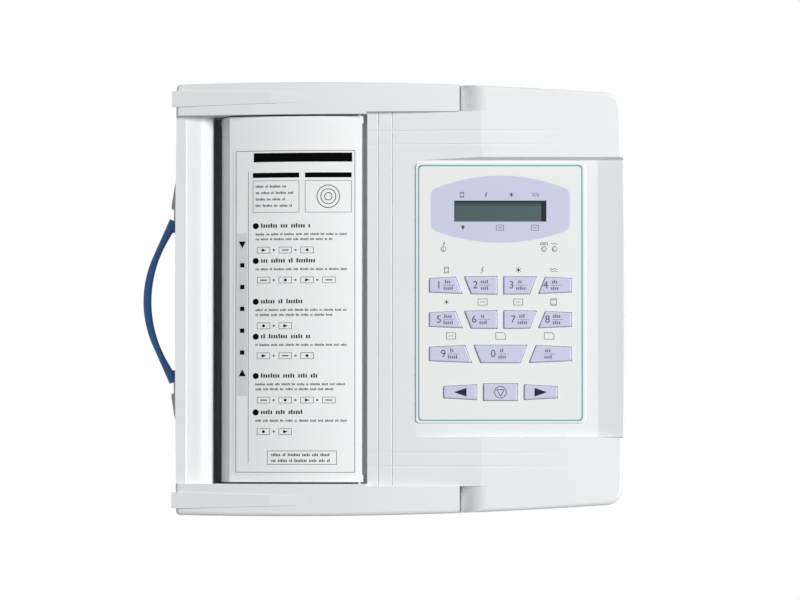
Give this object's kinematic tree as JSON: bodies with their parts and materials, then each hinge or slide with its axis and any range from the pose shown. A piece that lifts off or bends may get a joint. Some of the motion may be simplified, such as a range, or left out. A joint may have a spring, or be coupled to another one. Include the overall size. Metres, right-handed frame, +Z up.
{
  "type": "ecg machine",
  "caption": "Desktop ECG recorder: sloping two-shell case, hinged paper door with thermal printer inside, keypad with display, and a folding carry handle.",
  "frame": {"origin": "middle of the footprint, handle included, at the table under the feet", "axes": "+X to the user's right, +Y to the rear, +Z up"},
  "size_m": [0.333, 0.298, 0.092],
  "materials": {
    "case_shell": "fine texture",
    "case_base": "fine texture",
    "door_shell": "fine texture",
    "handle_blue": "satin",
    "key_lavender": "satin",
    "overlay_print": "printed, satin",
    "label_print": "printed, satin",
    "display_window": "clear tinted",
    "display_glass": "dark green display",
    "lamp_lens": "translucent",
    "foot_rubber": "matt",
    "platen_silicone": "ground",
    "switch_black": "satin",
    "steel": "turned",
    "zinc": "zinc plated",
    "brass": "plated",
    "gear_white": "moulded",
    "tray_grey": "moulded",
    "paper": "thermal paper",
    "core_card": "card",
    "board_green": "solder mask",
    "supply_metal": "folded sheet",
    "battery_wrap": "shrink wrap",
    "head_ceramic": "glazed",
    "sink_aluminium": "extruded",
    "silicone_sheet": "moulded"
  },
  "bodies": {
    "case": {"upper_case": "case_shell", "lower_case": "case_base", "rubber_feet": "foot_rubber", "case_screws": "zinc", "battery_door": "case_base", "battery_pack": "battery_wrap", "handle_brackets": "case_base", "door_hinge_pins": "steel", "idler_axle": "steel", "feed_motor": "zinc", "head_spring": "steel", "printer_tray": "tray_grey", "platen_saddles": "zinc", "keypad_overlay": "overlay_print", "key_board": "board_green", "keypad_sheet": "silicone_sheet", "lcd_window": "display_window", "lcd_frame": "zinc", "lcd_glass": "display_glass", "lcd_board": "board_green", "status_lamps": "lamp_lens", "main_board": "board_green", "input_board": "board_green", "ribbon_cable": "tray_grey", "power_supply": "supply_metal", "mains_inlet": "switch_black", "power_switch": "switch_black", "earth_stud": "brass", "serial_port": "zinc", "patient_socket": "zinc"},
    "door": {"printer_door": "door_shell", "door_label": "label_print", "platen_bushes": "gear_white"},
    "platen": {"platen_shaft": "steel", "platen_rubber": "platen_silicone", "platen_gear": "gear_white"},
    "idler": {"idler_gear": "gear_white"},
    "pinion": {"motor_pinion": "brass", "motor_shaft": "steel"},
    "head": {"print_head": "head_ceramic", "head_heatsink": "sink_aluminium"},
    "roll": {"paper_roll": "paper", "paper_core": "core_card", "roll_spindle": "tray_grey"},
    "handle": {"handle": "handle_blue"},
    "rocker": {"power_rocker": "switch_black"},
    "key_1_cap": {"key_1": "key_lavender"},
    "key_2_cap": {"key_2": "key_lavender"},
    "key_3_cap": {"key_3": "key_lavender"},
    "key_4_cap": {"key_4": "key_lavender"},
    "key_5_cap": {"key_5": "key_lavender"},
    "key_6_cap": {"key_6": "key_lavender"},
    "key_7_cap": {"key_7": "key_lavender"},
    "key_8_cap": {"key_8": "key_lavender"},
    "key_9_cap": {"key_9": "key_lavender"},
    "key_0_cap": {"key_0": "key_lavender"},
    "key_escape_cap": {"key_escape": "key_lavender"},
    "key_left_cap": {"key_left": "key_lavender"},
    "key_stop_cap": {"key_stop": "key_lavender"},
    "key_right_cap": {"key_right": "key_lavender"}
  },
  "joints": [
    {"name": "door_hinge", "type": "hinge", "parent": "case", "child": "door", "pos_m": [-0.0152, 0, 0.079], "axis": [0, 1, 0], "range_deg": [0, 95]},
    {"name": "platen_spin", "type": "hinge", "parent": "door", "child": "platen", "pos_m": [-0.1035, 0, 0.044], "axis": [0, 1, 0], "continuous": true},
    {"name": "idler_spin", "type": "hinge", "parent": "case", "child": "idler", "pos_m": [-0.08897, 0, 0.02669], "axis": [0, 1, 0], "continuous": true},
    {"name": "pinion_spin", "type": "hinge", "parent": "case", "child": "pinion", "pos_m": [-0.06914, 0, 0.01947], "axis": [0, 1, 0], "continuous": true},
    {"name": "roll_spin", "type": "hinge", "parent": "case", "child": "roll", "pos_m": [-0.0545, 0, 0.0345], "axis": [0, 1, 0], "continuous": true},
    {"name": "head_rock", "type": "hinge", "parent": "case", "child": "head", "pos_m": [-0.0915, 0, 0.0325], "axis": [0, 1, 0], "range_deg": [-3, 0], "stiffness_Nm_per_rad": 0.6, "springref_deg": 6.88},
    {"name": "handle_pivot", "type": "hinge", "parent": "case", "child": "handle", "pos_m": [-0.1441, 0, 0.026], "axis": [0, 1, 0], "range_deg": [0, 80]},
    {"name": "rocker_tip", "type": "hinge", "parent": "case", "child": "rocker", "pos_m": [0.0915, 0.1365, 0.022], "axis": [1, 0, 0], "range_deg": [0, 16]},
    {"name": "key_1_press", "type": "slide", "parent": "case", "child": "key_1_cap", "axis": [0, 0, -1], "range_m": [0, 0.0008], "stiffness_N_per_m": 300, "springref_m": -0.001},
    {"name": "key_2_press", "type": "slide", "parent": "case", "child": "key_2_cap", "axis": [0, 0, -1], "range_m": [0, 0.0008], "stiffness_N_per_m": 300, "springref_m": -0.001},
    {"name": "key_3_press", "type": "slide", "parent": "case", "child": "key_3_cap", "axis": [0, 0, -1], "range_m": [0, 0.0008], "stiffness_N_per_m": 300, "springref_m": -0.001},
    {"name": "key_4_press", "type": "slide", "parent": "case", "child": "key_4_cap", "axis": [0, 0, -1], "range_m": [0, 0.0008], "stiffness_N_per_m": 300, "springref_m": -0.001},
    {"name": "key_5_press", "type": "slide", "parent": "case", "child": "key_5_cap", "axis": [0, 0, -1], "range_m": [0, 0.0008], "stiffness_N_per_m": 300, "springref_m": -0.001},
    {"name": "key_6_press", "type": "slide", "parent": "case", "child": "key_6_cap", "axis": [0, 0, -1], "range_m": [0, 0.0008], "stiffness_N_per_m": 300, "springref_m": -0.001},
    {"name": "key_7_press", "type": "slide", "parent": "case", "child": "key_7_cap", "axis": [0, 0, -1], "range_m": [0, 0.0008], "stiffness_N_per_m": 300, "springref_m": -0.001},
    {"name": "key_8_press", "type": "slide", "parent": "case", "child": "key_8_cap", "axis": [0, 0, -1], "range_m": [0, 0.0008], "stiffness_N_per_m": 300, "springref_m": -0.001},
    {"name": "key_9_press", "type": "slide", "parent": "case", "child": "key_9_cap", "axis": [0, 0, -1], "range_m": [0, 0.0008], "stiffness_N_per_m": 300, "springref_m": -0.001},
    {"name": "key_0_press", "type": "slide", "parent": "case", "child": "key_0_cap", "axis": [0, 0, -1], "range_m": [0, 0.0008], "stiffness_N_per_m": 300, "springref_m": -0.001},
    {"name": "key_escape_press", "type": "slide", "parent": "case", "child": "key_escape_cap", "axis": [0, 0, -1], "range_m": [0, 0.0008], "stiffness_N_per_m": 300, "springref_m": -0.001},
    {"name": "key_left_press", "type": "slide", "parent": "case", "child": "key_left_cap", "axis": [0, 0, -1], "range_m": [0, 0.0008], "stiffness_N_per_m": 300, "springref_m": -0.001},
    {"name": "key_stop_press", "type": "slide", "parent": "case", "child": "key_stop_cap", "axis": [0, 0, -1], "range_m": [0, 0.0008], "stiffness_N_per_m": 300, "springref_m": -0.001},
    {"name": "key_right_press", "type": "slide", "parent": "case", "child": "key_right_cap", "axis": [0, 0, -1], "range_m": [0, 0.0008], "stiffness_N_per_m": 300, "springref_m": -0.001}
  ],
  "couplings": [
    {"joint": "platen_spin", "follows": "roll_spin", "ratio": 3.4286},
    {"joint": "idler_spin", "follows": "roll_spin", "ratio": -1.7143},
    {"joint": "pinion_spin", "follows": "roll_spin", "ratio": 4.2857}
  ]
}
